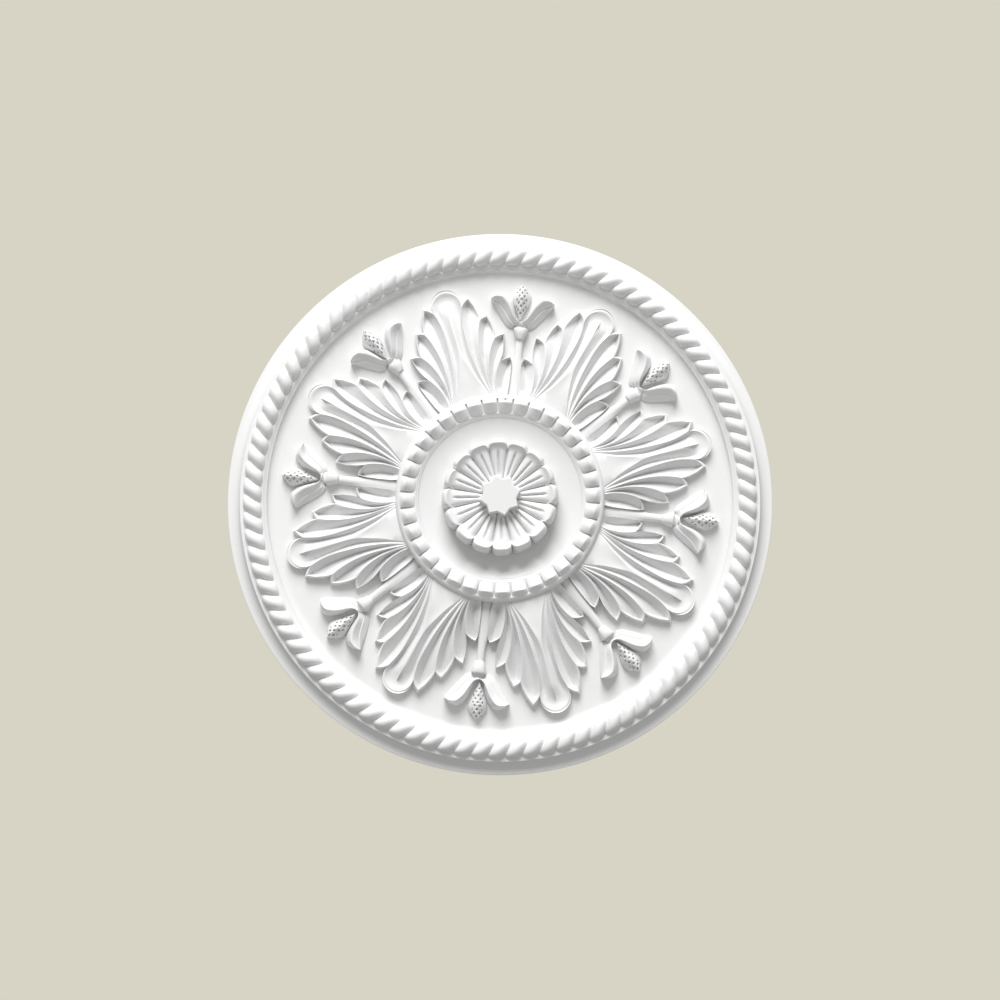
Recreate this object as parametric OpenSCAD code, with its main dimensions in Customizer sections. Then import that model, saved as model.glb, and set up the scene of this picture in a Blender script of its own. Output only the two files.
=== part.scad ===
// Ceiling rose, cast in one piece. It hangs face down: the flat back is the
// plane z = 0 and touches the ceiling, and the carving points down to -Z.
// Everything is drawn face up with z as height above the back, then turned over.

/* [Body] */
// Diameter over the outer edge
rose_d = 540; // [450:10:680]
// Thickness of the plain ground between the leaves
ground_t = 6; // [4:0.5:8]
// Height of the square outer edge above the back
edge_h = 5; // [3:0.5:8]
// Width of the hollow moulding between the edge and the ledge
hollow_w = 13; // [8:1:20]
// Height of the flat ledge that carries the rope
ledge_h = 14; // [11:0.5:20]
// Width of the ledge
ledge_w = 22.5; // [20:0.5:30]
// Width of the slope inside the ledge
slope_w = 3; // [2:0.5:5]
// Width of the cove that runs down to the ground
cove_w = 8; // [5:1:14]

/* [Rope] */
// Number of strands in the rope moulding
rope_strands = 94; // [60:1:110]
// Width of the rope
rope_w = 18.5; // [14:0.5:19]
// Height of the rope above its ledge
rope_h = 8; // [5:0.5:11]
// Depth of the cut between two strands
rope_cut = 2.6; // [1:0.2:4]
// Pitches that a strand advances across the rope
rope_lean = 0.55; // [0:0.05:1]

/* [Leaves] */
// Number of leaves, and of bellflowers between them
leaf_count = 8; // [6:1:8]
// Direction of the first leaf, counterclockwise from +X seen from the front
leaf_turn = 15.5; // [0:0.5:45]
// Clear ground between a leaf's tip and the cove
leaf_gap = 5; // [2:0.5:20]
// Half the width of a leaf over its side lobes
leaf_half_w = 50; // [38:1:51]
// Height of a leaf's crown above the ground
leaf_h = 18; // [12:1:22]
// Depth of the hollows between a leaf's ridges
leaf_cut = 4; // [2:0.5:6]

/* [Bellflowers] */
// Clear ground between a flower's seed head and the cove
flower_gap = 5; // [2:0.5:20]
// Half the width of a flower over its petal tips
flower_half_w = 31; // [22:1:32]
// Height of a flower above the ground
flower_h = 12; // [8:1:15]

/* [Hub] */
// Outer diameter of the hub ring
hub_d = 206; // [180:2:230]
// Height of the hub ring above the back
hub_h = 26; // [22:1:30]
// Width of the rounded outer band of the ring
band_w = 5.2; // [4:0.2:8]
// Number of square beads on the ring
bead_count = 37; // [30:1:40]
// Length of a bead along the radius
bead_l = 13.6; // [10:0.2:16]
// Height of a bead above its seat
bead_h = 6; // [4:0.5:8]
// Gap between two beads
bead_gap = 1.6; // [1:0.2:3]
// Thickness of the dish floor inside the ring
dish_t = 15; // [12:0.5:18]

/* [Rosette] */
// Number of petals
petal_count = 16; // [12:1:20]
// Direction of the first petal, counterclockwise from +X seen from the front
petal_turn = 2.3; // [0:0.1:22]
// Diameter over the petal tips
rosette_d = 113; // [96:1:120]
// Height of the petal tips above the back
petal_h = 40; // [34:1:44]
// Number of points of the star
star_points = 8; // [5:1:10]
// Diameter over the points of the star
star_d = 41; // [30:1:46]
// Height of the star's flat face above the back
star_h = 42; // [40:1:48]

/* [Hidden] */
$fn = 120;
SINK = 1.5;              // how far each ornament is let into what carries it
ARC_STEPS = 6;           // straight runs in a quarter hollow
rose_r = rose_d / 2;
ledge_r1 = rose_r - hollow_w;
ledge_r0 = ledge_r1 - ledge_w;
rope_r = ledge_r1 - 3.5 - rope_w / 2;
slope_r = ledge_r0 - slope_w;
cove_r = slope_r - 1;
ground_r = cove_r - cove_w;
hub_r = hub_d / 2;
seat_r1 = hub_r - band_w;
seat_h = hub_h - 2;
bead_r = seat_r1 - 0.4 - bead_l / 2;
seat_r0 = bead_r - bead_l / 2 - 0.4;
dish_r1 = seat_r0 - 3.2;
dish_w = 19;
leaf_tip = ground_r - leaf_gap;
leaf_len = leaf_tip - hub_r;
flower_tip = ground_r - flower_gap;
flower_len = flower_tip - hub_r;
rosette_r = rosette_d / 2;
star_r = star_d / 2;

// Leaf plan on a unit leaf: x is 1 at half its width, y runs from 0 at the hub to 1.
// Each ridge: where it starts, the point that bends it, and the notch that ends it.
RIDGES = [
    [[0.36, -0.04], [0.08, 0.48], [0.30, 0.82]],
    [[0.39, -0.04], [0.33, 0.46], [0.61, 0.71]],
    [[0.44, -0.04], [0.43, 0.36], [0.79, 0.49]],
    [[0.48, -0.04], [0.53, 0.17], [0.75, 0.265]],
    [[0.60, -0.06], [0.79, 0.07], [0.94, 0.21]]];
LOBE_TIPS = [[0.48, 0.90], [0.75, 0.70], [0.97, 0.50], [0.96, 0.27]];
WEB = [[0.28, -0.04], [0.02, 0.24], [0.012, 0.66]];
SPOON_R = 15.3;          // radius of the round end of the middle lobe
LEAF_ROWS = [0, 0.24, 0.5, 0.8, 1];

// ---- helpers ----
function mix(a, b, t) = a + (b - a) * t;
function bend(c, t) = (1 - t) * (1 - t) * c[0] + 2 * t * (1 - t) * c[1] + t * t * c[2];
function bump(t) = sin(180 * t);
function smooth(t) = let(u = min(max(t, 0), 1)) u * u * (3 - 2 * u);
// points of a quarter hollow from a to b; the curve leaves a straight down
function hollow(a, b) = [for (i = [0 : ARC_STEPS]) let(t = 90 * i / ARC_STEPS)
    [mix(a[0], b[0], 1 - cos(t)), mix(a[1], b[1], sin(t))]];
// faces that join rings of n points, closed by a cap at each end
function ring_faces(rings, n) = concat(
    [for (j = [0 : rings - 2], i = [0 : n - 1]) let(k = (i + 1) % n)
        each [[j * n + i, j * n + k, (j + 1) * n + k], [j * n + i, (j + 1) * n + k, (j + 1) * n + i]]],
    [[for (i = [n - 1 : -1 : 0]) i]],
    [[for (i = [0 : n - 1]) (rings - 1) * n + i]]);

// Closes a grid of rows x cols points over a flat bottom at height z. The bottom is
// a fan about `centre` where one is given, and otherwise repeats the grid.
module relief(grid, z, centre = []) {
    rows = len(grid);
    cols = len(grid[0]);
    n = rows * cols;
    top = [for (row = grid) each row];
    low = concat([for (p = top) [p[0], p[1], z]], len(centre) == 2 ? [[centre[0], centre[1], z]] : []);
    edge = concat(
        [for (i = [0 : cols - 1]) i],
        [for (j = [1 : rows - 1]) j * cols + cols - 1],
        [for (i = [cols - 2 : -1 : 0]) (rows - 1) * cols + i],
        [for (j = [rows - 2 : -1 : 1]) j * cols]);
    cells = [for (j = [0 : rows - 2], i = [0 : cols - 2]) j * cols + i];
    sides = [for (i = [0 : len(edge) - 1]) [edge[i], edge[(i + 1) % len(edge)]]];
    polyhedron(concat(top, low), concat(
        [for (a = cells) each [[a, a + cols, a + cols + 1], [a, a + cols + 1, a + 1]]],
        [for (s = sides) each [[s[0], s[1], n + s[1]], [s[0], n + s[1], n + s[0]]]],
        len(centre) == 2
            ? [for (s = sides) [n + s[0], n + s[1], 2 * n]]
            : [for (a = cells) each [[n + a, n + a + cols + 1, n + a + cols], [n + a, n + a + 1, n + a + cols + 1]]]));
}

// ---- body: everything that was turned in the running mould ----
module body() {
    rotate_extrude()
        polygon(concat(
            [[0, 0], [rose_r, 0]],
            [for (i = [0 : ARC_STEPS]) let(p = hollow([ledge_r1, ledge_h], [rose_r, edge_h])) p[ARC_STEPS - i]],
            [[ledge_r0, ledge_h], [slope_r, ledge_h - 2.5]],
            hollow([cove_r, ledge_h - 3.3], [ground_r, ground_t]),
            [[hub_r, ground_t], [hub_r, hub_h - 7]],
            [for (t = [15 : 15 : 90]) [hub_r - band_w * (1 - cos(t)) * 0.9, hub_h - 7 + 7 * sin(t)]],
            [[seat_r1, hub_h], [seat_r1, seat_h], [seat_r0, seat_h], [dish_r1 + 1, seat_h - 2.5]],
            hollow([dish_r1, seat_h - 2.8], [dish_r1 - dish_w, dish_t]),
            [[0, dish_t]]));
}

// ---- rope: strands laid side by side, each leaning as it crosses ----
module rope() {
    cols = 2 * rope_strands;
    pitch = 360 / rope_strands;
    // across the rope: place from -1 inner to 1 outer, and share of the height
    section = [[-1, 0], [-0.62, 0.72], [0, 1], [0.62, 0.72], [1, 0]];
    pts = [for (i = [0 : cols - 1], s = section)
        let(a = i * pitch / 2 - s[0] * rope_lean * pitch / 2,
            cut = (i % 2 == 0) ? 0 : rope_cut,
            w = rope_w / 2 - cut * 0.5,
            r = rope_r + s[0] * w,
            z = s[1] == 0 ? ledge_h - SINK : ledge_h + (rope_h - cut) * s[1])
        [r * cos(a), r * sin(a), z]];
    faces = [for (i = [0 : cols - 1], k = [0 : 4])
        let(a = 5 * i + k, b = 5 * i + (k + 1) % 5, c = 5 * ((i + 1) % cols) + k, d = 5 * ((i + 1) % cols) + (k + 1) % 5)
        each [[a, c, d], [a, d, b]]];
    polyhedron(pts, faces);
}

// ---- leaf ----
// crown of the leaf: high at the hub, falling to the tip and to both sides, up at the tip
function leaf_crown(x, y) = ground_t
    + leaf_h * (0.97 - 0.45 * y + 0.06 * smooth((y - 0.82) / 0.18) - 0.34 * pow(abs(x), 1.7));
function lobe_cut(t) = leaf_cut * (0.25 + 0.75 * smooth(t * 1.8)) * (1 - smooth((t - 0.86) / 0.14));
// a line of the leaf at row t, with its hollow cut in as far as `share` says
function leaf_point(line, share, side, t) = let(p = bend(line, t))
    [side * p[0] * leaf_half_w, hub_r + p[1] * leaf_len, leaf_crown(p[0], p[1]) - share * lobe_cut(t)];
function midway(a, b, t) = [for (i = [0 : 2]) mix(a[i], b[i], t)];
// line to a point of the outline between two ridges, pushed out to round the lobe
function lobe_line(i, end, t) = let(m = midway(RIDGES[i], RIDGES[i + 1], t)) [m[0], m[1], end];
function spoon_end(a) = [SPOON_R * cos(a) / leaf_half_w, 1 - (SPOON_R / leaf_len) * (1 - sin(a))];
function half_leaf() = concat(
    [[WEB[0], WEB[1], spoon_end(72)]],
    [[midway(WEB, RIDGES[0], 0.5)[0], midway(WEB, RIDGES[0], 0.5)[1], spoon_end(26)]],
    [RIDGES[0]],
    [for (i = [0 : 3]) each [
        lobe_line(i, mix(RIDGES[i][2], LOBE_TIPS[i], 0.55) + [-0.035, 0.03], 0.25),
        lobe_line(i, LOBE_TIPS[i], 0.5),
        lobe_line(i, mix(RIDGES[i + 1][2], LOBE_TIPS[i], 0.55) + [0.035, 0.01], 0.75),
        RIDGES[i + 1]]]);
HALF_SHARE = concat([0, 1, 0], [for (i = [0 : 3]) each [0.75, 1, 0.75, 0]]);

module leaf() {
    half = half_leaf();
    n = len(half);
    middle = [[0, -0.04], [0, 0.3], [0, 1]];
    relief([for (t = LEAF_ROWS) concat(
        [for (i = [n - 1 : -1 : 0]) leaf_point(half[i], HALF_SHARE[i], -1, t)],
        [leaf_point(middle, 0, 1, t)],
        [for (i = [0 : n - 1]) leaf_point(half[i], HALF_SHARE[i], 1, t)])],
        ground_t - SINK, [0, hub_r + 0.1 * leaf_len]);
}

// ---- bellflower ----
// a bar along +Y whose stations give [y, half width, height above the ground]
module bar(stations) {
    polyhedron([for (s = stations) each [
        [s[1], s[0], ground_t - SINK], [s[1] * 0.62, s[0], ground_t + s[2]],
        [-s[1] * 0.62, s[0], ground_t + s[2]], [-s[1], s[0], ground_t - SINK]]],
        ring_faces(len(stations), 4));
}

module flower() {
    y0 = hub_r;
    l = flower_len;
    h = flower_h;
    // stem, knot and the cup under the bell
    bar([[y0 - 2, 5.4, h * 0.75], [y0 + l * 0.36, 3.8, h * 0.5], [y0 + l * 0.37, 2.4, h * 0.3],
        [y0 + l * 0.42, 4, h * 0.5], [y0 + l * 0.44, 4.6, h * 0.6], [y0 + l * 0.545, 7, h * 0.75],
        [y0 + l * 0.55, 5, h * 0.45], [y0 + l * 0.6, 8, h * 0.5]]);
    // seed head, clear of the petals
    bar([[y0 + l * 0.7, 1, h * 0.5], [y0 + l * 0.82, 6.6, h * 0.85], [y0 + l * 0.89, 8, h * 0.95],
        [y0 + l * 0.95, 5.4, h * 0.8], [y0 + l, 1.4, h * 0.45]]);
    // two petals, from the cup to their curled tips
    rows = [0, 0.25, 0.5, 0.75, 1];
    outer = [[8, 0.602], [15, 0.72], [flower_half_w, 0.83]];
    inner = [[0.4, 0.602], [9, 0.93], [flower_half_w - 2, 0.87]];
    for (side = [-1, 1])
        relief([for (t = side > 0 ? rows : [1, 0.75, 0.5, 0.25, 0])
            let(a = bend(outer, t), b = bend(inner, t), z = h * (0.55 + 0.3 * t))
            [[side * b[0], y0 + b[1] * l, ground_t + z + h * 0.15 * bump(t)],
                [side * mix(a[0], b[0], 0.5), y0 + mix(a[1], b[1], 0.5) * l, ground_t + z + h * 0.2],
                [side * a[0], y0 + a[1] * l, ground_t + z * 0.8]]], ground_t - SINK);
}

// ---- hub ornaments ----
module bead() {
    w = 360 / bead_count;
    half = bead_r * sin(w / 2) - bead_gap / 2;
    // each level: share of the plan, height, and how far its middle lies outward
    levels = [[1, -SINK, 0], [1, bead_h * 0.35, 0], [0.86, bead_h * 0.75, 0.03], [0.45, bead_h, 0.12]];
    polyhedron([for (v = levels) each [for (c = [[-1, 1], [1, 1], [1, -1], [-1, -1]])
        [bead_r + bead_l * (c[0] / 2 * v[0] + v[2]), c[1] * half * (1 + c[0] * 0.07) * v[0], seat_h + v[1]]]],
        ring_faces(len(levels), 4));
}

module rosette() {
    cols = 4 * petal_count;
    // across a petal: cut, flank, crown, flank, as shares of reach and height
    reach = [0.86, 0.98, 1, 0.98];
    crown = [-6, -1.2, 0, -1.2];
    radii = [0.2, 0.5, 0.8, 0.93, 1];
    rise = [-8, -5.5, -1.5, 0, -6];
    pts = concat(
        [for (j = [0 : 4], i = [0 : cols - 1])
            let(a = (i - 2) * 360 / cols, k = i % 4, r = rosette_r * mix(radii[j], radii[j] * reach[k], j / 4))
            [r * cos(a), r * sin(a), petal_h + rise[j] + crown[k] * (0.3 + 0.7 * radii[j])]],
        [for (i = [0 : cols - 1])
            let(a = (i - 2) * 360 / cols, r = rosette_r * reach[i % 4])
            [r * cos(a), r * sin(a), dish_t - SINK]]);
    polyhedron(pts, ring_faces(6, cols));
}

module star() {
    translate([0, 0, petal_h - 14])
        linear_extrude(star_h - petal_h + 14)
            polygon([for (i = [0 : 2 * star_points - 1])
                let(a = i * 180 / star_points, r = star_r * (i % 2 == 0 ? 1 : 0.79)) [r * cos(a), r * sin(a)]]);
}

module ceiling_rose() {
    color("whitesmoke")
        rotate([180, 0, 0]) {
            body();
            rope();
            for (i = [0 : leaf_count - 1]) {
                rotate(leaf_turn + i * 360 / leaf_count - 90) leaf();
                rotate(leaf_turn + (i + 0.5) * 360 / leaf_count - 90) flower();
            }
            for (i = [0 : bead_count - 1]) rotate(i * 360 / bead_count) bead();
            rotate(petal_turn) rosette();
            rotate(petal_turn + 180 / petal_count) star();
        }
}

ceiling_rose();
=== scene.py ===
"""Builds the finish of a moulded ceiling rose: fine relief, satin primer, and a plain studio.

Each part of the carving is drawn face up with z as height above the back, as a closed form,
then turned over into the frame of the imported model. The forms are united into one casting.
"""

import math

import bmesh
import bpy
import numpy as np
from mathutils import Matrix, Vector


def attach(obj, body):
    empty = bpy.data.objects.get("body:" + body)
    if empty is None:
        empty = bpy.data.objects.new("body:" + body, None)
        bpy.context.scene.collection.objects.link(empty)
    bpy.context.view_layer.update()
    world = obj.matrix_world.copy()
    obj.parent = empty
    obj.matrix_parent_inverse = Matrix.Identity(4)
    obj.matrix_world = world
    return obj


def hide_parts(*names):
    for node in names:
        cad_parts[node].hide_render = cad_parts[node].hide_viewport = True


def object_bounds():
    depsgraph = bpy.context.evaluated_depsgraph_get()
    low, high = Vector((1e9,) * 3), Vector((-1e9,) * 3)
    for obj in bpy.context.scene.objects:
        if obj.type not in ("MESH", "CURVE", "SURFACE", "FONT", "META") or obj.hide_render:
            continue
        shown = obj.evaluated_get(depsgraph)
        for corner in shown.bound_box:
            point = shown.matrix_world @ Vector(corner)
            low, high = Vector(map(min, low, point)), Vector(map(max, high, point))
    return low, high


bl_info = {
    "name": "Ceiling Rose",
    "version": (1, 0, 0),
    "blender": (4, 5, 0),
    "location": "View3D > Sidebar > Rose",
    "description": "Builds a moulded ceiling rose with rope, leaves, bellflowers and rosette",
    "category": "Add Mesh",
}

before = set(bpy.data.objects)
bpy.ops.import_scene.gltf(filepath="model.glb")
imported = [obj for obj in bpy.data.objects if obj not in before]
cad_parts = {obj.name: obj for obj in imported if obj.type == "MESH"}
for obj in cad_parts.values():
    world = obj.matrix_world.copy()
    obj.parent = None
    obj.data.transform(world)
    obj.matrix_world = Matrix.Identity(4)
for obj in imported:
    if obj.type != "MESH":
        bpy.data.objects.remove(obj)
CAD_LOW, CAD_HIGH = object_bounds()
MM = 0.001
ROSE_D = CAD_HIGH.x - CAD_LOW.x
ROSE_T = CAD_HIGH.z - CAD_LOW.z
LET_IN = 1 * MM  # how far an ornament is let into what carries it
SEAT_DROP = 2 * MM  # how far the beads' seat lies under the top of the hub ring
FORMS = []  # closed forms waiting to be united, in the order they were made


# ---------------------------------------------------------------- sizes and colours
def length(name, about, default):
    return bpy.props.FloatProperty(
        name=name, description=about, default=default, min=0.0, unit="LENGTH", precision=4
    )


def angle(name, about, degrees):
    return bpy.props.FloatProperty(
        name=name, description=about, default=math.radians(degrees), unit="ROTATION"
    )


def count(name, about, default):
    return bpy.props.IntProperty(name=name, description=about, default=default, min=1)


def share(name, about, default):
    return bpy.props.FloatProperty(
        name=name, description=about, default=default, min=0.0, max=1.0, subtype="FACTOR"
    )


def colour(name, about, default):
    return bpy.props.FloatVectorProperty(
        name=name, description=about, default=default, size=4, min=0.0, max=1.0, subtype="COLOR"
    )


class BodySizes(bpy.types.PropertyGroup):
    """Sizes of the turned body, from the edge to the middle."""

    diameter: length("Diameter", "Diameter over the outer edge", ROSE_D)
    ground: length("Ground", "Height of the plain ground above the back", 0.006)
    edge: length("Edge", "Height of the square outer edge", 0.005)
    ledge: length("Ledge", "Height of the ledge that carries the rope", 0.014)
    hub_radius: length("Hub radius", "Outer radius of the hub ring", 0.103)
    hub: length("Hub", "Height of the hub ring above the back", 0.026)
    dish: length("Dish", "Height of the dish floor above the back", 0.015)
    segments: count("Segments", "Straight runs round the body", 240)


class RopeSizes(bpy.types.PropertyGroup):
    """Sizes of the rope moulding."""

    strands: count("Strands", "Strands round the rose", 94)
    turn: angle("Turn", "Direction of the first strand", 0.6)
    radius: length("Radius", "Radius of the middle of the rope", 0.2443)
    width: length("Width", "Width of the rope over its strands", 0.0188)
    height: length("Height", "Height of a strand above the ledge", 0.0078)
    cut: share("Cut", "Depth of the cuts as a share of the height", 0.62)
    lean: share("Lean", "Pitches a strand advances across the rope", 0.55)


class LeafSizes(bpy.types.PropertyGroup):
    """Sizes of the acanthus leaves."""

    leaves: count("Leaves", "Leaves round the hub", 8)
    turn: angle("Turn", "Direction of the first leaf", 15.5)
    tip: length("Tip radius", "Radius that the leaf tips reach", 0.217)
    half_width: length("Half width", "Half the width over the side lobes", 0.05)
    lift: length("Lift", "Height of the crown above the ground", 0.018)
    gouge: length("Gouge", "Depth of the gouges between ridges", 0.0078)


class FlowerSizes(bpy.types.PropertyGroup):
    """Sizes of the bellflowers between the leaves."""

    turn: angle("Turn", "Direction of the first bellflower", 38.0)
    sway: angle("Sway", "How much further round the seed heads point than the stems", 0.8)
    tip: length("Tip radius", "Radius that the seed heads reach", 0.217)
    lift: length("Lift", "Height of the petals above the ground", 0.0126)


class HubSizes(bpy.types.PropertyGroup):
    """Sizes of the beads on the hub ring."""

    beads: count("Beads", "Square beads round the ring", 37)
    turn: angle("Turn", "Direction of the first bead", -0.9)
    inner: length("Inner radius", "Radius of the beads' inner ends", 0.0838)
    outer: length("Outer radius", "Radius of the beads' outer ends", 0.0996)
    height: length("Height", "Height of a bead above its seat", 0.0076)
    gap: length("Gap", "Gap between two beads", 0.0015)
    drift: length("Drift", "How far off centre the cuts between the beads point", 0.0035)
    chipped: count("Chipped bead", "Which bead has the small nick", 9)


class RosetteSizes(bpy.types.PropertyGroup):
    """Sizes of the rosette and its star."""

    petals: count("Petals", "Petals round the star", 16)
    turn: angle("Turn", "Direction of the first petal", 2.3)
    radius: length("Radius", "Radius over the petal tips", 0.0565)
    height: length("Height", "Height of the petal tips above the back", 0.040)
    points: count("Star points", "Points of the star", 8)
    star_radius: length("Star radius", "Radius over the star's points", 0.0205)
    star_height: length("Star height", "Height of the star's flat face above the back", ROSE_T)


class Finish(bpy.types.PropertyGroup):
    """Colours and gloss of the primer and of the bare back."""

    primer: colour("Primer", "Colour of the primed face", (0.74, 0.74, 0.74, 1.0))
    back: colour("Back", "Colour of the bare moulded back", (0.80, 0.79, 0.76, 1.0))
    gloss: share("Roughness", "Roughness of the primed face", 0.36)
    smooth_angle: angle("Smooth angle", "Edges that turn more than this stay crisp", 34.0)


class Studio(bpy.types.PropertyGroup):
    """The floor, the lights and the camera."""

    backdrop: colour("Backdrop", "Colour all round the rose", (0.679, 0.658, 0.558, 1.0))
    room_light: bpy.props.FloatProperty(
        name="Room light", description="Soft light from all round", default=0.43
    )
    key_power: bpy.props.FloatProperty(
        name="Key light", description="Power of the key light", default=335.0, unit="POWER"
    )
    key_size: length("Key size", "Diameter of the key light", 3.0)
    fill_power: bpy.props.FloatProperty(
        name="Back fill", description="Power of the light behind", default=20.0, unit="POWER"
    )
    fill_size: length("Fill size", "Diameter of the light behind", 1.6)
    floor_drop: length("Floor", "How far the floor lies under the rose", 5.5)
    floor_side: length("Floor side", "Length and width of the floor", 60.0)
    floor_colour: colour("Floor colour", "Colour of the pale floor", (0.80, 0.78, 0.68, 1.0))
    camera_distance: length("Camera distance", "From the rose to the camera", 1.6)
    camera_tilt: angle("Camera tilt", "How far off square the camera looks", 6.5)
    lens: bpy.props.FloatProperty(
        name="Lens", description="Focal length", default=57.9, unit="CAMERA"
    )


class RoseSettings(bpy.types.PropertyGroup):
    """Everything a user would change."""

    body: bpy.props.PointerProperty(type=BodySizes)
    rope: bpy.props.PointerProperty(type=RopeSizes)
    leaf: bpy.props.PointerProperty(type=LeafSizes)
    flower: bpy.props.PointerProperty(type=FlowerSizes)
    hub: bpy.props.PointerProperty(type=HubSizes)
    rosette: bpy.props.PointerProperty(type=RosetteSizes)
    finish: bpy.props.PointerProperty(type=Finish)
    studio: bpy.props.PointerProperty(type=Studio)


# ---------------------------------------------------------------- drawing helpers
def smooth(t):
    """0 below t = 0, 1 above t = 1, and an even turn between."""
    u = np.clip(t, 0.0, 1.0)
    return u * u * (3 - 2 * u)


def mix(a, b, t):
    return a + (b - a) * t


def curve(points, t):
    """Points at shares t of the length of a smooth curve through the given points."""
    p = np.array(points, float)
    t = np.asarray(t, float)
    k = np.concatenate([[0], np.cumsum(np.linalg.norm(np.diff(p, axis=0), axis=1))])
    k /= k[-1]
    slope = np.gradient(p, k, axis=0)
    i = np.clip(np.searchsorted(k, t, side="right") - 1, 0, len(k) - 2)
    h = k[i + 1] - k[i]
    u = ((t - k[i]) / h)[..., None]
    h = h[..., None]
    return (
        (2 * u**3 - 3 * u**2 + 1) * p[i]
        + (u**3 - 2 * u**2 + u) * h * slope[i]
        + (3 * u**2 - 2 * u**3) * p[i + 1]
        + (u**3 - u**2) * h * slope[i + 1]
    )


def soften(profile, radius, steps=4):
    """The profile with each inner corner rounded over `radius`, or less on a short run."""
    p = [np.array(q, float) for q in profile]
    out = [p[0]]
    for a, b, c in zip(p, p[1:], p[2:]):
        into, away = a - b, c - b
        ra = min(radius, 0.45 * np.linalg.norm(into))
        rc = min(radius, 0.45 * np.linalg.norm(away))
        start = b + into / np.linalg.norm(into) * ra
        end = b + away / np.linalg.norm(away) * rc
        for s in np.linspace(0, 1, steps):
            out.append((1 - s) ** 2 * start + 2 * s * (1 - s) * b + s * s * end)
    out.append(p[-1])
    return np.array(out)


def quads(rows, cols, wrap_rows=False, wrap_cols=False):
    """Faces of a grid of rows x cols points."""
    last_row = rows if wrap_rows else rows - 1
    last_col = cols if wrap_cols else cols - 1
    return [
        (
            j * cols + i,
            j * cols + (i + 1) % cols,
            (j + 1) % rows * cols + (i + 1) % cols,
            (j + 1) % rows * cols + i,
        )
        for j in range(last_row)
        for i in range(last_col)
    ]


def relief(grid, foot):
    """A closed form: the grid on top, walls round it, and a flat underside at height `foot`."""
    rows, cols = grid.shape[:2]
    top = grid.reshape(-1, 3)
    rim = (
        list(range(cols))
        + [j * cols + cols - 1 for j in range(1, rows)]
        + [(rows - 1) * cols + i for i in range(cols - 2, -1, -1)]
        + [j * cols for j in range(rows - 2, 0, -1)]
    )
    n = len(top)
    low = top[rim].copy()
    low[:, 2] = foot
    k = len(rim)
    walls = [(rim[i], n + i, n + (i + 1) % k, rim[(i + 1) % k]) for i in range(k)]
    underside = tuple(range(n + k - 1, n - 1, -1))
    return np.vstack([top, low]), quads(rows, cols) + walls + [underside]


def loft(sections):
    """A closed form through sections of equal point count, capped at both ends."""
    grid = np.array(sections, float)
    rows, cols = grid.shape[:2]
    caps = [tuple(range(cols - 1, -1, -1)), tuple((rows - 1) * cols + i for i in range(cols))]
    return grid.reshape(-1, 3), quads(rows, cols, wrap_cols=True) + caps


def turned(points, degrees):
    """The points turned about the rose's axis."""
    a = math.radians(degrees)
    c, s = math.cos(a), math.sin(a)
    x, y, z = np.asarray(points, float).T
    return np.column_stack([c * x - s * y, s * x + c * y, z])


def facing_out(points, faces):
    """The faces, turned over if they face into the closed form."""
    middle = points.mean(axis=0)
    volume = sum(
        np.dot(points[f[0]] - middle, np.cross(points[f[i]] - middle, points[f[i + 1]] - middle))
        for f in faces
        for i in range(1, len(f) - 1)
    )
    return faces if volume > 0 else [f[::-1] for f in faces]


def make_form(name, parts, material_of=None):
    """One mesh object from closed parts drawn face up in metres, turned over to hang."""
    points, faces, at = [], [], 0
    outward = {}  # parts that are copies share one list of faces, which is looked at once
    for p, f in parts:
        p = np.asarray(p, float)
        if id(f) not in outward:
            outward[id(f)] = facing_out(p, f)
        points.append(p)
        faces += [tuple(at + i for i in face) for face in outward[id(f)]]
        at += len(p)
    points = np.vstack(points) * (1, -1, -1)
    mesh = bpy.data.meshes.new(name)
    mesh.from_pydata(points.tolist(), [], faces)
    if material_of:
        for face in mesh.polygons:
            face.material_index = material_of(face)
    form = bpy.data.objects.new(name, mesh)
    bpy.context.scene.collection.objects.link(form)
    FORMS.append(form)


def round_the_rose(part, number, first):
    """Copies of one part, evenly spaced about the axis. The part is drawn along +Y."""
    points, faces = part
    return [(turned(points, first - 90 + i * 360 / number), faces) for i in range(number)]


# ---------------------------------------------------------------- turned body
LEDGE_OUT, LEDGE_IN = 13 * MM, 35.5 * MM  # from the rose's edge to the sides of the ledge
BAND_ROUND = 7 * MM  # height of the hub ring's rounded outer band
FACE_SLOT, BACK_SLOT = 0, 1  # primed face and bare back


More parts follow.
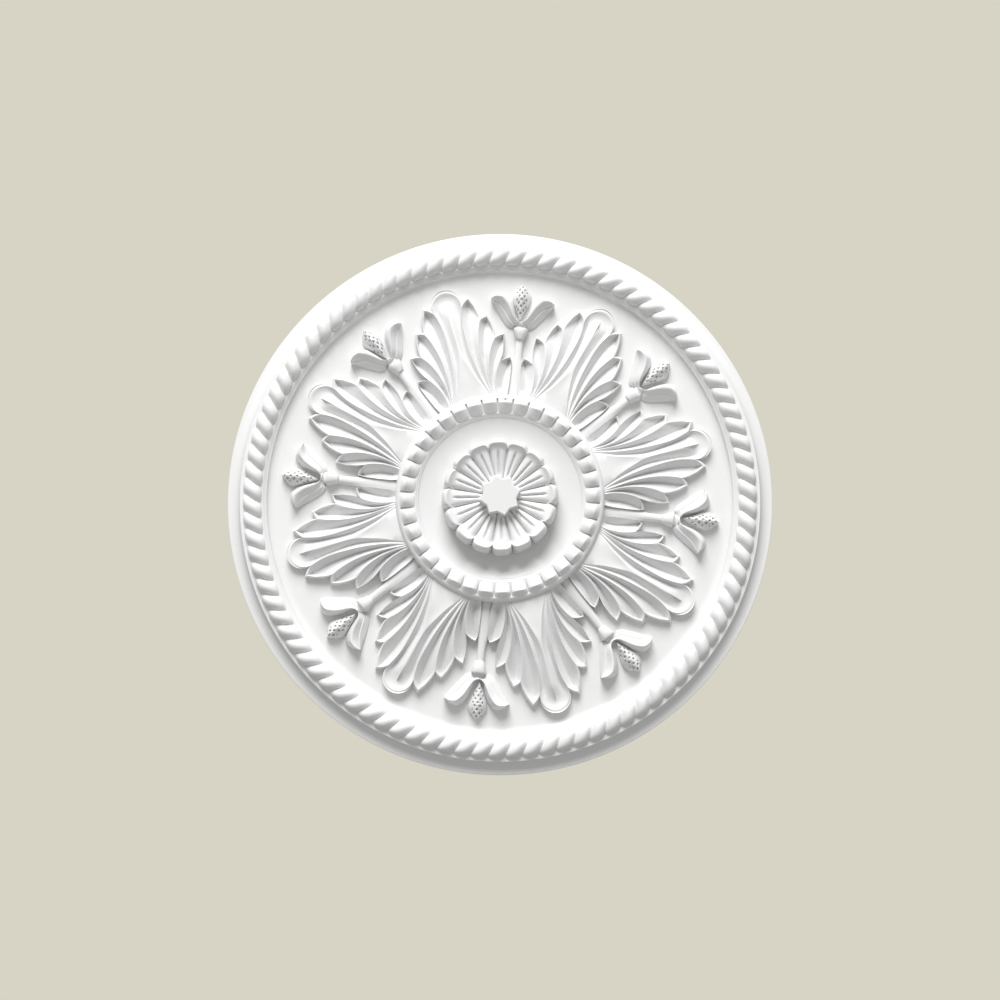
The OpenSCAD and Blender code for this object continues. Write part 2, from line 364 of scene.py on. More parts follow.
def body_profile(s):
    """Radius and height from the outer edge to the middle, in metres."""
    r = s.diameter / 2
    ledge_out, ledge_in = r - LEDGE_OUT, r - LEDGE_IN
    bends = np.radians(np.linspace(0, 90, 9))

    def hollow(a, b):
        return [
            (mix(a[0], b[0], 1 - math.cos(t)), mix(a[1], b[1], math.sin(t))) for t in bends
        ]

    edge = [(r, s.edge - 0.4 * MM), (r - 0.5 * MM, s.edge)]
    rise = hollow((ledge_out, s.ledge - 0.8 * MM), (r - 1.0 * MM, s.edge))[::-1]
    ledge = [(ledge_out - 0.2 * MM, s.ledge), (ledge_in, s.ledge)]
    slope = [(ledge_in - 3 * MM, s.ledge - 2.5 * MM), (ledge_in - 3.7 * MM, s.ledge - 2.6 * MM)]
    cove = hollow((ledge_in - 4.0 * MM, s.ledge - 3.3 * MM), (ledge_in - 12 * MM, s.ground))
    h, top = s.hub_radius, s.hub
    seat = top - SEAT_DROP
    band = [(h, s.ground), (h, top - BAND_ROUND)] + [
        (h - 4.7 * MM * (1 - math.cos(t)), top - BAND_ROUND + BAND_ROUND * math.sin(t))
        for t in np.radians([18, 36, 54, 72, 90])
    ]
    inside = [
        (h - 5.0 * MM, top - 0.3 * MM),
        (h - 5.6 * MM, seat),
        (h - 20.0 * MM, seat),
        (h - 21.8 * MM, seat - 1.6 * MM),
        (h - 22.6 * MM, seat - 1.7 * MM),
    ]
    dish = [
        (h - (23 + 29 * t) * MM, s.dish + (seat - 2.8 * MM - s.dish) * (1 - t) ** 1.6)
        for t in np.linspace(0, 1, 9)
    ]
    line = soften(edge + rise + ledge + slope + cove, 0.9 * MM, 3)
    inner = soften(band + inside + dish + [(0.012, s.dish)], 0.7 * MM, 3)
    return [(r, 0.0)] + [tuple(q) for q in line] + [tuple(q) for q in inner]


def turned_form(profile, segments):
    """A closed solid of revolution whose first and last points lie on the flat back."""
    a = np.linspace(0, 2 * np.pi, segments, endpoint=False)
    rings = np.array(
        [np.column_stack([r * np.cos(a), r * np.sin(a), np.full(segments, z)]) for r, z in profile]
    )
    rows = len(rings)
    points = np.vstack([rings.reshape(-1, 3), [[0, 0, profile[-1][1]], [0, 0, 0]]])
    top, back = rows * segments, rows * segments + 1
    faces = quads(rows, segments, wrap_cols=True)
    last = (rows - 1) * segments
    for i in range(segments):
        k = (i + 1) % segments
        faces += [(last + i, last + k, top), (k, i, back)]
    return points, faces


class ROSE_OT_body(bpy.types.Operator):
    """Turn the body: edge, hollow, ledge, cove, ground, hub ring and dish"""

    bl_idname = "rose.body"
    bl_label = "Turn the Body"

    def execute(self, context):
        s = context.scene.rose.body
        make_form(
            "body",
            [turned_form(body_profile(s), s.segments)],
            lambda face: BACK_SLOT if abs(face.center.z) < 0.01 * MM else FACE_SLOT,
        )
        return {"FINISHED"}


# ---------------------------------------------------------------- rope
def rope_form(s, ledge):
    """A closed ring of leaning strands that lies on the ledge."""
    per_strand = 9
    cols = s.strands * per_strand
    across = np.sin(np.linspace(-np.pi / 2, np.pi / 2, 12))
    i = np.arange(cols)
    v = (i % per_strand) / per_strand
    belly = 1 - np.abs(2 * v - 1) ** 2.2  # 0 in the cut, 1 on the crown of the strand
    pitch = 2 * np.pi / s.strands
    waist = 1.1 * MM  # how much narrower the rope is in a cut
    low = ledge - 0.5 * MM
    rings = []
    for t in across:
        lean = -(1.25 * t - 0.25 * t**3) * s.lean / 2
        a = math.radians(s.turn) + (i / per_strand + lean) * pitch
        arch = (1 - abs(t) ** 2.3) ** 0.55
        depth = s.cut * s.height * (1 - belly) * (0.35 + 0.65 * arch)
        r = s.radius + t * (s.width / 2 - (1 - belly) * waist)
        z = low + (s.height + 0.5 * MM) * arch - depth
        rings.append(np.column_stack([r * np.cos(a), r * np.sin(a), np.maximum(z, low)]))
    for edge in (rings[-1], rings[0]):
        rings.append(edge * (1, 1, 0) + (0, 0, ledge - 2 * LET_IN))
    faces = quads(len(rings), cols, wrap_rows=True, wrap_cols=True)
    return np.array(rings).reshape(-1, 3), faces


class ROSE_OT_rope(bpy.types.Operator):
    """Lay the rope of leaning strands on its ledge"""

    bl_idname = "rose.rope"
    bl_label = "Lay the Rope"

    def execute(self, context):
        rose = context.scene.rose
        make_form("rope", [rope_form(rose.rope, rose.body.ledge)])
        return {"FINISHED"}


# ---------------------------------------------------------------- leaves
# Half a leaf in millimetres, x from its axis and y from the rose's centre, drawn for the sizes
# in the next two lines. Each ridge runs from the hub to a notch.
LEAF_HALF, LEAF_ROOT, LEAF_LENGTH = 50, 103, 114
LEAF_GROUND, LEAF_LIFT = 6, 18
WEB_EDGE = [(17.5, 99), (13.5, 110), (9.8, 118), (4.9, 132.5), (1.0, 147), (0.4, 172), (0.3, 198)]
RIDGES = [
    [(20.0, 98), (17.2, 107), (14.5, 117), (11.4, 134.5), (9.7, 158), (10.6, 182), (15.0, 199)],
    [(20.6, 98), (19.6, 110), (18.7, 134), (20.6, 154), (25.0, 170), (29.6, 180.8)],
    [(22.0, 98), (21.8, 112), (23.8, 127), (27.6, 139.5), (33.2, 150.5), (39.2, 158.2)],
    [(23.6, 98), (25.2, 108), (28.6, 119), (32.6, 126.6), (37.0, 132.8)],
    [(33.0, 95), (37.6, 103.6), (41.6, 112.6), (45.2, 121.6), (47.6, 128)],
]
LOBE_TIPS = [(23.8, 205.5), (37.4, 182.8), (48.8, 159.8), (48.2, 134.6)]
SPOON = (15.2, 202.0)  # radius and centre of the round end of the middle lobe
# Height of a leaf's middle above the back, by distance from the rose's centre
CROWN = [
    (96, 22), (106, 22.4), (125, 22.6), (146, 21.6), (168, 19.4),
    (190, 16.6), (203, 15.4), (212, 15.4), (218, 15.8),
]
FIRST_LOBE_SHARES = (0, 0.05, 0.15, 0.27, 0.39, 0.5, 0.61, 0.73, 0.85, 0.95, 1)
SIDE_LOBE_SHARES = (0.05, 0.16, 0.33, 0.5, 0.67, 0.84, 0.95, 1)


def leaf_crown(x, y, s, ground):
    """Height of the leaf before its gouges, in metres; x and y in plan millimetres."""
    r, z = np.array(CROWN, float).T
    middle = (np.interp(y, r, z) + np.interp(y - 4, r, z) + np.interp(y + 4, r, z)) / 3
    fall = 8.5 * (np.abs(x) / LEAF_HALF) ** 1.7
    lift = s.lift / (LEAF_LIFT * MM)
    return ground + (middle - LEAF_GROUND - fall) * MM * lift


def lobe_outline(start, tip, end, u):
    """The point at share u of a pointed arch from notch to notch through the tip."""
    start, tip, end = (np.array(p, float) for p in (start, tip, end))
    foot, t, bulge = (start, 2 * u, 0.14) if u < 0.5 else (end, 2 - 2 * u, -0.13)
    run = tip - foot
    elbow = foot + run / 2 + bulge * np.array([-run[1], run[0]])
    return (1 - t) ** 2 * foot + 2 * t * (1 - t) * elbow + t * t * tip


def leaf_form(s, ground):
    """One leaf along +Y: lobes gouged between sharp ridges, and a spoon at the end."""
    rows = np.concatenate([np.linspace(0, 0.9, 24), [0.925, 0.945, 0.958, 0.97, 0.98, 0.99, 1]])
    open_up = 0.35 + 0.65 * smooth(rows / 0.3)  # gouges are shallow at the hub
    rim = 1 - smooth((rows - 0.925) / 0.04)  # gouges stop short of the outline
    bevel = 2.4 * MM * smooth((rows - 0.968) / 0.03)
    pull = smooth((rows - 0.35) / 0.65)[:, None] ** 1.6  # draws the ends on to the outline
    web = curve(WEB_EDGE, rows * 0.999)
    first = curve(RIDGES[0], rows * 0.999)
    radius, spoon_y = SPOON

    def spoon(u):
        """A point on the spoon's outline, from its tip at 0 to its first notch at 1."""
        a = math.radians(mix(1, 106, u))
        return np.array([radius * math.sin(a), spoon_y + radius * math.cos(a)])

    def bowl(p):
        """Depth of the spoon's hollow."""
        rho = np.clip(np.hypot(p[:, 0], p[:, 1] - spoon_y) / radius, 0, 1)
        return 5.0 * MM * (1 - rho**3.4)

    def gouge(a, b, u):
        """Depth of a straight-sided gouge between two ridges with narrow tops."""
        room = np.linalg.norm(a - b, axis=1) * MM
        part = np.clip((1 - abs(2 * u - 1)) * 1.06 - 0.05, 0, 1)
        return np.minimum(s.gouge, 0.6 * room) * part * open_up

    def first_lobe(u):
        p = mix(web, first, u)
        end = spoon(u) if u < 0.999 else np.array(RIDGES[0][-1], float)
        p = p + pull * (end - mix(web[-1], first[-1], u))
        s_bowl = smooth((p[:, 1] - 190) / 14)
        dip = gouge(web, first, u) * (1 - s_bowl) * rim + bowl(p) * s_bowl
        return p, dip + bevel

    def web_line(u):
        """A line on the smooth web between the two centre ridges."""
        p = first_lobe(0)[0] * (u, 1)
        sag = 1.0 * MM * (1 - u**2) * smooth((web[:, 0] - 1) / 5)
        return p, sag + bowl(p) * smooth((p[:, 1] - 198) / 6) + bevel

    # each line: its plan points, and how deep it lies under the crown, at every row
    half = [web_line(0.5)] + [first_lobe(u) for u in FIRST_LOBE_SHARES]
    for start, end, tip in zip(RIDGES, RIDGES[1:], LOBE_TIPS):
        a, b = curve(start, rows * 0.999), curve(end, rows * 0.999)
        for u in SIDE_LOBE_SHARES:
            edge = lobe_outline(start[-1], tip, end[-1], u)
            p = mix(a, b, u) + pull * (edge - mix(a[-1], b[-1], u))
            half.append((p, gouge(a, b, u) * rim + bevel))
    wide = s.half_width / (LEAF_HALF * MM)
    long = (s.tip - LEAF_ROOT * MM) / (LEAF_LENGTH * MM)

    def place(line, side):
        p, dip = line
        z = leaf_crown(p[:, 0], p[:, 1], s, ground) - dip
        x = side * p[:, 0] * wide * MM
        y = LEAF_ROOT * MM + (p[:, 1] - LEAF_ROOT) * long * MM
        return np.column_stack([x, y, np.maximum(z, ground + 1 * MM)])

    columns = [place(line, -1) for line in reversed(half)]
    columns += [place(line, 1) for line in [web_line(0.0)] + half]
    return relief(np.array(columns).transpose(1, 0, 2), ground - LET_IN)


class ROSE_OT_leaves(bpy.types.Operator):
    """Carve the acanthus leaves that spring from the hub"""

    bl_idname = "rose.leaves"
    bl_label = "Carve the Leaves"

    def execute(self, context):
        s = context.scene.rose.leaf
        leaf = leaf_form(s, context.scene.rose.body.ground)
        make_form("leaves", round_the_rose(leaf, s.leaves, math.degrees(s.turn)))
        return {"FINISHED"}


# ---------------------------------------------------------------- bellflowers
# Stem, cup and neck: distance from the rose's centre and half width in millimetres, and
# height above the ground as a share of the flower's lift
STEM = [
    (99, 6.6, 0.74), (120, 6.2, 0.68), (138, 5.4, 0.58), (146, 4.3, 0.54),
    (160.4, 3.9, 0.52), (161.0, 4.2, 0.62), (161.8, 4.6, 0.72), (166, 5.8, 0.84),
    (170.4, 7.3, 0.9), (171.8, 7.5, 0.86), (172.6, 7.0, 0.7), (173.2, 5.8, 0.4),
    (176.4, 5.6, 0.36), (177.0, 4.4, 0.6), (178.2, 3.0, 0.66), (179.4, 1.2, 0.5),
]
# Upper and lower edge of a petal, from its root to its tip
PETAL_UPPER = [
    (0.5, 178.6), (3.8, 181), (6.1, 187.6), (8.8, 195.6),
    (12.6, 202), (18.6, 206.4), (25.2, 205), (31.6, 199.6),
]
PETAL_LOWER = [
    (0.5, 176.2), (5, 175), (8.8, 172.6), (13.4, 174.8),
    (18.6, 180.6), (23.2, 186.6), (27.8, 193), (32, 198.8),
]
# Height across a petal from edge to edge: rim, hollow, crease and fall
PETAL_SECTION = (
    [0, 0.11, 0.2, 0.28, 0.36, 0.66, 0.72, 0.8, 1.0],
    [0.25, 0.62, 0.88, 1.0, 0.97, 0.5, 0.51, 0.4, 0.14],
)
# Half width of a seed head in millimetres along its length
HEAD_WIDTH = [0, 0.16, 0.36, 0.55, 0.69, 0.8, 0.91, 1], [0.5, 3.0, 6.1, 8.5, 9.4, 8.0, 4.8, 0.8]
HEAD_LENGTH = 36


def bar_form(stations, foot):
    """A rounded bar along +Y through stations of (y, half width, height), in metres."""
    a = np.radians(np.linspace(0, 180, 11))
    sections = []
    for y, half, top in stations:
        x = half * np.sign(np.cos(a)) * np.abs(np.cos(a)) ** 0.8
        z = foot + (top - foot) * np.sin(a) ** 0.42
        low = [(half, y, foot), (-half, y, foot)]
        arch = [(x[i], y, z[i]) for i in range(1, len(a) - 1)]
        sections.append([low[0]] + arch + [low[1]])
    return loft(sections)


def petal_form(side, ground, lift):
    """One curled petal: a bright rim, a hollow, a crease and a falling lower edge."""
    t = np.concatenate([np.linspace(0, 0.9, 15), [0.94, 0.97, 0.99, 1.0]])
    a, b = curve(PETAL_UPPER, t), curve(PETAL_LOWER, t)
    u = np.array([0, 0.05, 0.11, 0.2, 0.28, 0.36, 0.46, 0.57, 0.66, 0.72, 0.8, 0.92, 1.0])
    across = np.interp(u, *PETAL_SECTION)
    along = np.interp(t, [0, 0.12, 0.3, 0.7, 0.92, 1.0], [0.62, 0.78, 0.95, 1.08, 1.04, 0.86])
    grid = []
    for j in range(len(t)):
        p = a[j] + (b[j] - a[j]) * u[:, None]
        tip_round = smooth((t[j] - 0.8) / 0.2)
        z = ground + lift * mix(across, 0.8 - 0.45 * u**2, 0.35 * tip_round) * along[j]
        grid.append(np.column_stack([side * p[:, 0] * MM, p[:, 1] * MM, z]))
    return relief(np.array(grid), ground - LET_IN)


def seed_head_form(ground, lift, tip):
    """A pointed head with a lattice of small pits cut across it."""
    y = np.linspace(0, 1, 42)
    x = np.linspace(-1, 1, 23)
    half = sum(np.interp(y + shift, *HEAD_WIDTH) for shift in (0, -0.03, 0.03)) / 3
    px = x[None, :] * half[:, None]
    py = np.repeat(y[:, None] * HEAD_LENGTH, len(x), 1)
    roof = 1 - 0.72 * np.abs(x[None, :]) ** 1.5
    lattice = np.cos(np.pi * (px / 5.0 + py / 6.6)) * np.cos(np.pi * (px / 5.0 - py / 6.6))
    pits = np.clip(lattice**2 * 2.6 - 0.9, 0, 1) * (np.abs(px) < 4.8)  # near the ridge only
    rise = np.interp(y, [0, 0.25, 0.6, 0.85, 1], [0.5, 0.85, 1.1, 0.9, 0.5])[:, None]
    z = ground + lift * rise * roof - 3.2 * MM * pits
    base = tip - HEAD_LENGTH * MM
    grid = np.stack([px * MM, base + py * MM, z], axis=-1)
    return relief(grid, ground - LET_IN)


class ROSE_OT_bellflowers(bpy.types.Operator):
    """Carve the bellflowers that stand between the leaves"""

    bl_idname = "rose.bellflowers"
    bl_label = "Carve the Bellflowers"

    def execute(self, context):
        rose = context.scene.rose
        s, ground, number = rose.flower, rose.body.ground, rose.leaf.leaves
        first, sway = math.degrees(s.turn), math.degrees(s.sway)
        stations = [(y * MM, w * MM, ground + z * s.lift) for y, w, z in STEM]
        stem = bar_form(stations, ground - LET_IN)
        make_form("stems", round_the_rose(stem, number, first))
        for name, side in (("petals_left", -1), ("petals_right", 1)):
            petal = petal_form(side, ground, s.lift)
            make_form(name, round_the_rose(petal, number, first + sway / 2))
        head = seed_head_form(ground, s.lift, s.tip)
        make_form("seed_heads", round_the_rose(head, number, first + sway))
        return {"FINISHED"}


# ---------------------------------------------------------------- hub beads
BEAD_CIRCLE = 0.092  # radius on which the drift of the cuts is measured
# Height of a bead from its inner to its outer end, as shares
BEAD_CREST = [0, 0.04, 0.24, 0.56, 0.61, 0.66, 0.93, 1], [0.1, 0.2, 0.52, 0.96, 1.0, 0.95, 0.3, 0.2]


def bead_form(s, seat, half, chipped):
    """One crested bead along +Y that fills `half` an angle each way, less its gap."""
    u = np.array([0, 0.04, 0.12, 0.24, 0.36, 0.48, 0.56, 0.61, 0.66, 0.76, 0.86, 0.93, 1.0])
    v = np.array([-1, -0.97, -0.84, -0.62, -0.34, 0, 0.34, 0.62, 0.84, 0.97, 1])
    crest = np.interp(u, *BEAD_CREST)[:, None]
    belly = 1 - 0.55 * np.abs(v) ** 2.0 - 0.15 * (np.abs(v) > 0.99)
    r = mix(s.inner, s.outer, u)
    dies_out = smooth((u - 0.75) / 0.25)[:, None]  # the outer end runs into the band
    tuck = 1 - 0.10 * np.clip(np.abs(2 * u - 1) - 0.8, 0, 1) / 0.2
    x = v[None, :] * ((r * math.sin(half) - s.gap / 2) * tuck)[:, None]
    bow = 0.5 * MM * (np.abs(v) ** 4)[None, :] * (2 * u - 1)[:, None]
    y = np.repeat(r[:, None], len(v), 1) - bow
    z = seat + s.height * crest * mix(belly[None, :], 1 - 0.3 * np.abs(v) ** 4, dies_out)
    if chipped:
        along = (y - s.outer + 1.0 * MM) / (2.6 * MM)
        nick = np.exp(-((x / (1.9 * MM)) ** 2) - along**2)
        z = z - 3.6 * MM * nick
        y = y - 1.6 * MM * nick
    return relief(np.stack([x, y, np.maximum(z, seat + 0.1 * MM)], axis=-1), seat - LET_IN)


class ROSE_OT_beads(bpy.types.Operator):
    """Set the square beads on the hub ring"""

    bl_idname = "rose.beads"
    bl_label = "Set the Beads"

    def execute(self, context):
        rose = context.scene.rose
        s = rose.hub
        seat = rose.body.hub - SEAT_DROP
        pitch = 360 / s.beads
        off = math.degrees(s.drift / BEAD_CIRCLE)
        parts = []
        for k in range(s.beads):
            middle = math.degrees(s.turn) + k * pitch
            start, end = (
                a + off * math.cos(math.radians(a))
                for a in (middle - pitch / 2, middle + pitch / 2)
            )
            points, faces = bead_form(s, seat, math.radians(end - start) / 2, k == s.chipped)
            parts.append((turned(points, (start + end) / 2 - 90), faces))
        make_form("beads", parts)
        return {"FINISHED"}


# ---------------------------------------------------------------- rosette
# Middle line of a petal from the star outwards, drawn 56.5 mm long: the radii it is built
# through, and its height against the tips' height, both in millimetres
PETAL_RADII = [
    10, 16, 19, 21, 23, 26, 30, 34, 38, 42, 45, 46.5, 48, 49.2, 50.4, 51.4,
    52.2, 53, 53.8, 54.6, 55.4, 56, 56.5,
]
PETAL_RISE = (
    [10, 20, 30, 40, 46.5, 49.2, 51.4, 52.2, 53.4, 54.6, 55.6, 56.5],
    [-9.6, -8.4, -6.8, -5.0, -4.0, -2.6, -0.4, 0, -0.2, -1.3, -3.4, -6],
)
# Outer wall under the petals' tips: drop and outward step in millimetres
PETAL_WALL = (9.5, 0.2), (14, 0.5), (26, 0.9)
# Star up to its flat face: height against the face, and how far it is drawn in, likewise
STAR_STEPS = (-1.3, 0.0), (-0.5, 0.35), (0.0, 1.1)


def petal_ring_form(s, dish):
    """All the grooved petals as one closed ring with a flat foot let into the dish."""
    per_petal = 24
    cols = s.petals * per_petal
    i = np.arange(cols)
    # v is -1 and 1 in the cuts between petals and 0 on a petal's middle line
    v = ((i + per_petal / 2) % per_petal) / per_petal * 2 - 1
    a = s.turn + (i / per_petal) * 2 * np.pi / s.petals
    radii = MM * np.array(PETAL_RADII)
    flank = 0.22 * np.abs(v) ** 2 + 0.78 * np.abs(v) ** 6
    foot = dish - 1.5 * MM
    rings = []
    for r, h in zip(radii, MM * np.interp(radii / MM, *PETAL_RISE)):
        end = smooth((r / MM - 38) / 18.5)  # the round of the petal's end starts here
        reach = 1 - (1 - np.sqrt(1 - 0.92 * v**4)) * 0.15 * end
        off_line = np.abs(v) * r / s.petals * np.pi
        groove = np.clip(1 - off_line / (1.7 * MM), 0, 1)
        groove *= smooth((r / MM - 19) / 3) * (1 - smooth((r / MM - 43.5) / 2.5))
        cut = 3.2 * MM + 2.0 * MM * smooth((r / MM - 20) / 25)
        z = s.height + h - cut * flank - 2.8 * MM * groove
        scale = r * reach * (s.radius / (PETAL_RADII[-1] * MM))
        rings.append(np.column_stack([scale * np.cos(a), scale * np.sin(a), z]))
    tips = rings[-1]
    for drop, out in PETAL_WALL:
        wall = tips.copy()
        wall[:, :2] *= 1 + out * MM / s.radius
        wall[:, 2] = np.minimum(wall[:, 2], s.height - drop * MM)
        rings.append(wall)
    rings[-1][:, 2] = foot
    rows, n = len(rings), len(rings) * cols
    points = np.vstack([*rings, [[0, 0, rings[0][0, 2]], [0, 0, foot]]])
    faces = quads(rows, cols, wrap_cols=True)
    last = (rows - 1) * cols
    for j in range(cols):
        k = (j + 1) % cols
        faces += [(k, j, n), (last + j, last + k, n + 1)]
    return points, faces


def star_form(s):
    """The star: upright sides, a small bevel and a flat face."""
    steps = [(s.height - 13 * MM, -0.3)] + [(s.star_height + z * MM, i) for z, i in STAR_STEPS]
    star = []
    for z, inset in steps:
        ring = []
        for j in range(2 * s.points):
            b = s.turn + math.pi / s.petals + j * math.pi / s.points
            r = (s.star_radius if j % 2 == 0 else s.star_radius * 0.8) - inset * MM
            ring.append((r * math.cos(b), r * math.sin(b), z))
        star.append(ring)
    return loft(star)


class ROSE_OT_rosette(bpy.types.Operator):
    """Model the grooved petals and the flat star in the dish"""

    bl_idname = "rose.rosette"
    bl_label = "Model the Rosette"

    def execute(self, context):
        rose = context.scene.rose
        make_form("petal_ring", [petal_ring_form(rose.rosette, rose.body.dish)])
        make_form("star", [star_form(rose.rosette)])
        return {"FINISHED"}


# ---------------------------------------------------------------- finish
def new_material(name):
    """A material, its node tree, its shader and its object coordinates."""
    m = bpy.data.materials.new(name)
    m.use_nodes = True
    tree = m.node_tree
    coords = tree.nodes.new("ShaderNodeTexCoord").outputs["Object"]
    return m, tree, tree.nodes["Principled BSDF"], coords


def texture(tree, coords, kind, **values):
    """A texture node on the coordinates, with the given values on its sockets."""
    node = tree.nodes.new(kind)
    for socket, value in values.items():
        node.inputs[socket].default_value = value
    tree.links.new(coords, node.inputs["Vector"])
    return node


def ramp(tree, source, target, *stops):
    """Leads a value through a ramp of two stops, each a position and a colour."""
    node = tree.nodes.new("ShaderNodeValToRGB")
    for element, (at, value) in zip(node.color_ramp.elements, stops):
        element.position, element.color = at, value
    tree.links.new(source, node.inputs["Fac"])
    tree.links.new(node.outputs["Color"], target)


def relief_bump(tree, height, shader, strength, distance):
    """A bump of the shader's surface that follows a height."""
    bump = tree.nodes.new("ShaderNodeBump")
    bump.inputs["Strength"].default_value = strength
    bump.inputs["Distance"].default_value = distance
    tree.links.new(height, bump.inputs["Height"])
    tree.links.new(bump.outputs["Normal"], shader.inputs["Normal"])


def primer_material(s):
    """Satin primer over moulded foam: faint unevenness in gloss and a fine skin."""
    m, tree, shader, coords = new_material("white_primer")
    noise = "ShaderNodeTexNoise"
    cloud = texture(tree, coords, noise, Scale=9.0, Detail=4.0, Roughness=0.55)
    r, g, b = s.primer[:3]
    dull, clean = (r * 0.975, g * 0.975, b * 0.97, 1), (r, g, b, 1)
    ramp(tree, cloud.outputs["Fac"], shader.inputs["Base Color"], (0.3, dull), (0.7, clean))
    brush = texture(tree, coords, noise, Scale=60.0, Detail=3.0, Roughness=0.6)
    low, high = ((s.gloss + step,) * 3 + (1,) for step in (-0.05, 0.06))
    ramp(tree, brush.outputs["Fac"], shader.inputs["Roughness"], (0.3, low), (0.7, high))
    shader.inputs["Specular IOR Level"].default_value = 0.5
    skin = texture(tree, coords, noise, Scale=900.0, Detail=2.0, Roughness=0.5)
    wave = texture(tree, coords, noise, Scale=120.0, Detail=3.0, Roughness=0.5)
    add = tree.nodes.new("ShaderNodeMath")
    add.operation = "MULTIPLY_ADD"
    tree.links.new(wave.outputs["Fac"], add.inputs[0])
    add.inputs[1].default_value = 2.0
    tree.links.new(skin.outputs["Fac"], add.inputs[2])
    relief_bump(tree, add.outputs["Value"], shader, 0.12, 0.0004)
    return m


def back_material(s):
    """Bare back of the moulding: matt, a little yellower, with fine pores."""
    m, tree, shader, coords = new_material("moulded_back")
    cloud = texture(tree, coords, "ShaderNodeTexNoise", Scale=14.0, Detail=6.0)
    pores = texture(tree, coords, "ShaderNodeTexVoronoi", Scale=420.0)
    r, g, b = s.back[:3]
    dull, clean = (r * 0.9, g * 0.9, b * 0.88, 1), (r, g, b, 1)
    ramp(tree, cloud.outputs["Fac"], shader.inputs["Base Color"], (0.35, dull), (0.65, clean))
    relief_bump(tree, pores.outputs["Distance"], shader, 0.35, 0.0006)
    shader.inputs["Roughness"].default_value = 0.72
    return m


def unite(base, other):
    """Unites `other` into `base` and removes it."""
    context = bpy.context
    modifier = base.modifiers.new("unite", "BOOLEAN")
    modifier.operation = "UNION"
    modifier.solver = "MANIFOLD"
    modifier.object = other
    context.view_layer.update()
    evaluated = base.evaluated_get(context.evaluated_depsgraph_get())
    mesh = bpy.data.meshes.new_from_object(evaluated)
    base.modifiers.clear()
    old = base.data
    base.data = mesh
    bpy.data.meshes.remove(old)
    bpy.data.objects.remove(other)


class ROSE_OT_cast(bpy.types.Operator):
    """Unite the forms into one casting, smooth it, and give it its finish"""

    bl_idname = "rose.cast"
    bl_label = "Cast in One Piece"

    def execute(self, context):
        if not FORMS:
            raise RuntimeError("there is nothing to cast: make the body first")
        s = context.scene.rose.finish
        primer, back = primer_material(s), back_material(s)
        for form in FORMS:
            form.data.materials.append(primer)
            form.data.materials.append(back)
        rose = FORMS[0]
        for form in FORMS[1:]:
            before = len(rose.data.polygons)
            unite(rose, form)
            if len(rose.data.polygons) == before:
                raise RuntimeError("a form did not unite with the casting")
        FORMS.clear()
        rose.name = rose.data.name = "rose_casting"
        mesh = rose.data
        bm = bmesh.new()
        bm.from_mesh(mesh)
        bmesh.ops.triangulate(bm, faces=bm.faces)
        open_edges = sum(1 for e in bm.edges if not e.is_manifold)
        bm.to_mesh(mesh)
        bm.free()
        print("casting:", len(mesh.polygons), "triangles,", open_edges, "open edges")
        mesh.shade_smooth()
        mesh.set_sharp_from_angle(angle=s.smooth_angle)
        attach(rose, "root")
        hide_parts("ceiling_rose")
        return {"FINISHED"}


# ---------------------------------------------------------------- stage
KEY_AT = (-0.4, -3.95, -2.6)
FILL_AT = (1.3, 1.6, 2.4)
FLOOR_GLOW = 0.38  # lifts the floor to the tone of the backdrop
FILM_WIDTH = 36.0


def soft_light(name, at, size, power):
    """A round soft light at a point, turned to face the rose."""
    data = bpy.data.lights.new(name, "AREA")
    data.shape, data.size, data.energy = "DISK", size, power
    lamp = bpy.data.objects.new(name, data)
    lamp.location = at
    lamp.rotation_mode = "QUATERNION"
    lamp.rotation_quaternion = (-Vector(at)).to_track_quat("-Z", "Y")
    bpy.context.scene.collection.objects.link(lamp)


def studio_world(s):
    """The backdrop as the camera sees it, and neutral room light for everything else."""
    world = bpy.data.worlds.new("studio")
    world.use_nodes = True
    tree = world.node_tree
    room = tree.nodes["Background"]
    room.inputs["Color"].default_value = (1, 1, 1, 1)
    room.inputs["Strength"].default_value = s.room_light
    sheet = tree.nodes.new("ShaderNodeBackground")
    sheet.inputs["Color"].default_value = tuple(s.backdrop)
    seen = tree.nodes.new("ShaderNodeLightPath")
    choose = tree.nodes.new("ShaderNodeMixShader")
    tree.links.new(seen.outputs["Is Camera Ray"], choose.inputs["Fac"])
    tree.links.new(room.outputs["Background"], choose.inputs[1])
    tree.links.new(sheet.outputs["Background"], choose.inputs[2])
    tree.links.new(choose.outputs["Shader"], tree.nodes["World Output"].inputs["Surface"])
    return world


def floor_material(s):
    """Matt pale paint with a slight glow."""
    m = bpy.data.materials.new("floor_paint")
    m.use_nodes = True
    shader = m.node_tree.nodes["Principled BSDF"]
    shader.inputs["Base Color"].default_value = tuple(s.floor_colour)
    shader.inputs["Roughness"].default_value = 0.9
    shader.inputs["Emission Color"].default_value = tuple(s.floor_colour)
    shader.inputs["Emission Strength"].default_value = FLOOR_GLOW
    return m


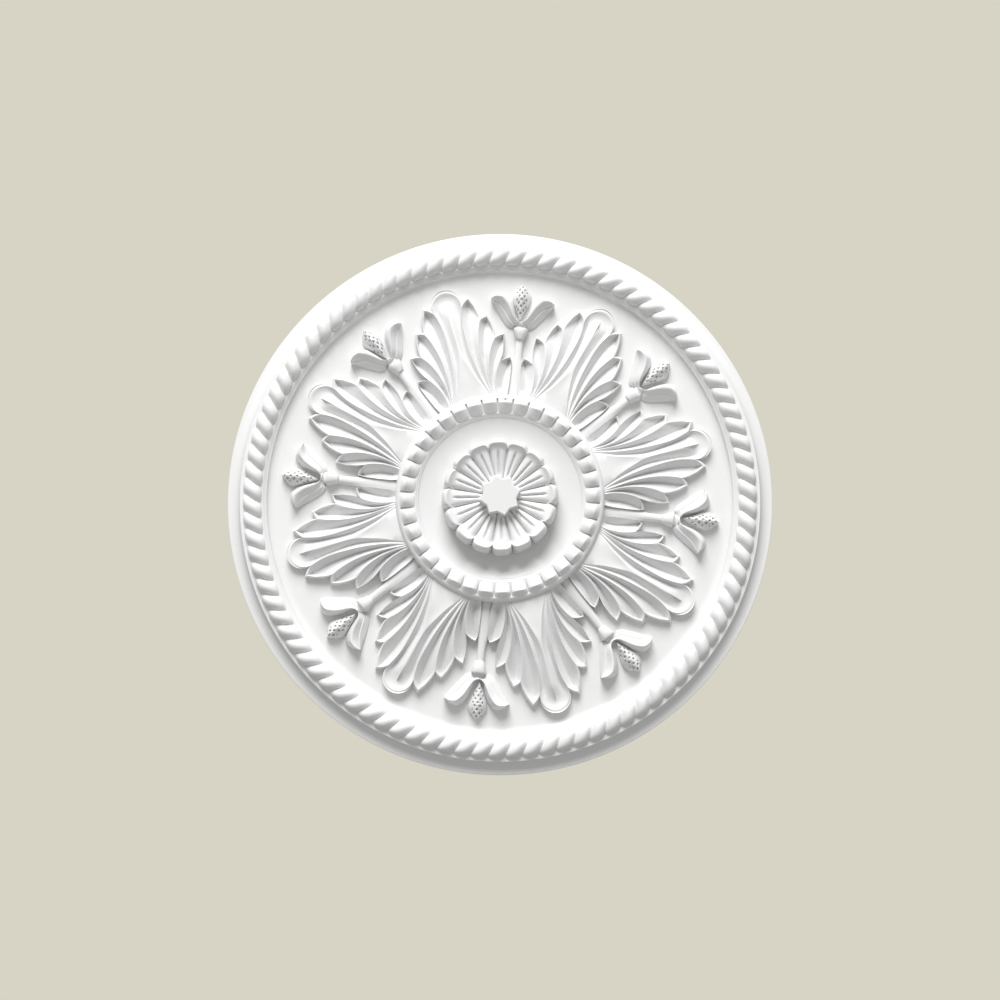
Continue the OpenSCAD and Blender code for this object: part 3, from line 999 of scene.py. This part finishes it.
class ROSE_OT_stage(bpy.types.Operator):
    """Lay the pale floor and set the lights and the camera"""

    bl_idname = "rose.stage"
    bl_label = "Set the Stage"

    def execute(self, context):
        scene = context.scene
        s = scene.rose.studio
        scene.view_settings.view_transform = "Standard"
        scene.world = studio_world(s)

        bpy.ops.mesh.primitive_plane_add(size=s.floor_side, location=(0, 0, -s.floor_drop))
        floor = context.object
        floor.name = "floor"
        floor.data.materials.append(floor_material(s))
        floor.visible_diffuse = False  # the room light alone fills the shadows of the face

        soft_light("key", KEY_AT, s.key_size, s.key_power)
        soft_light("back_fill", FILL_AT, s.fill_size, s.fill_power)

        data = bpy.data.cameras.new("camera")
        data.lens = s.lens
        data.sensor_width = FILM_WIDTH
        camera = bpy.data.objects.new("camera", data)
        d, t = s.camera_distance, s.camera_tilt
        camera.location = (0, d * math.sin(t), -d * math.cos(t))
        look = -camera.location.normalized()
        right = Vector((1, 0, 0))
        up = right.cross(look)
        camera.rotation_mode = "QUATERNION"
        turn = Matrix((right, up, -look)).transposed()
        camera.rotation_quaternion = turn.to_quaternion()
        scene.collection.objects.link(camera)
        scene.camera = camera
        return {"FINISHED"}


STEPS = [
    ROSE_OT_body,
    ROSE_OT_rope,
    ROSE_OT_leaves,
    ROSE_OT_bellflowers,
    ROSE_OT_beads,
    ROSE_OT_rosette,
    ROSE_OT_cast,
    ROSE_OT_stage,
]


class VIEW3D_PT_rose(bpy.types.Panel):
    """Lists the steps that build the rose."""

    bl_idname = "VIEW3D_PT_rose"
    bl_label = "Ceiling Rose"
    bl_space_type = "VIEW_3D"
    bl_region_type = "UI"
    bl_category = "Rose"

    def draw(self, context):
        rose = context.scene.rose
        for step in STEPS:
            self.layout.operator(step.bl_idname)
        for group in ("body", "rope", "leaf", "flower", "hub", "rosette", "finish", "studio"):
            box = self.layout.box()
            box.label(text=group.capitalize())
            settings = getattr(rose, group)
            for key in settings.bl_rna.properties.keys():
                if key not in ("rna_type", "name"):
                    box.prop(settings, key)


CLASSES = [
    BodySizes,
    RopeSizes,
    LeafSizes,
    FlowerSizes,
    HubSizes,
    RosetteSizes,
    Finish,
    Studio,
    RoseSettings,
    *STEPS,
    VIEW3D_PT_rose,
]


def register():
    for cls in CLASSES:
        bpy.utils.register_class(cls)
    bpy.types.Scene.rose = bpy.props.PointerProperty(type=RoseSettings)


def unregister():
    del bpy.types.Scene.rose
    for cls in reversed(CLASSES):
        bpy.utils.unregister_class(cls)


def main():
    register()
    for step in STEPS:
        group, name = step.bl_idname.split(".")
        getattr(getattr(bpy.ops, group), name)()


if __name__ == "__main__":
    main()
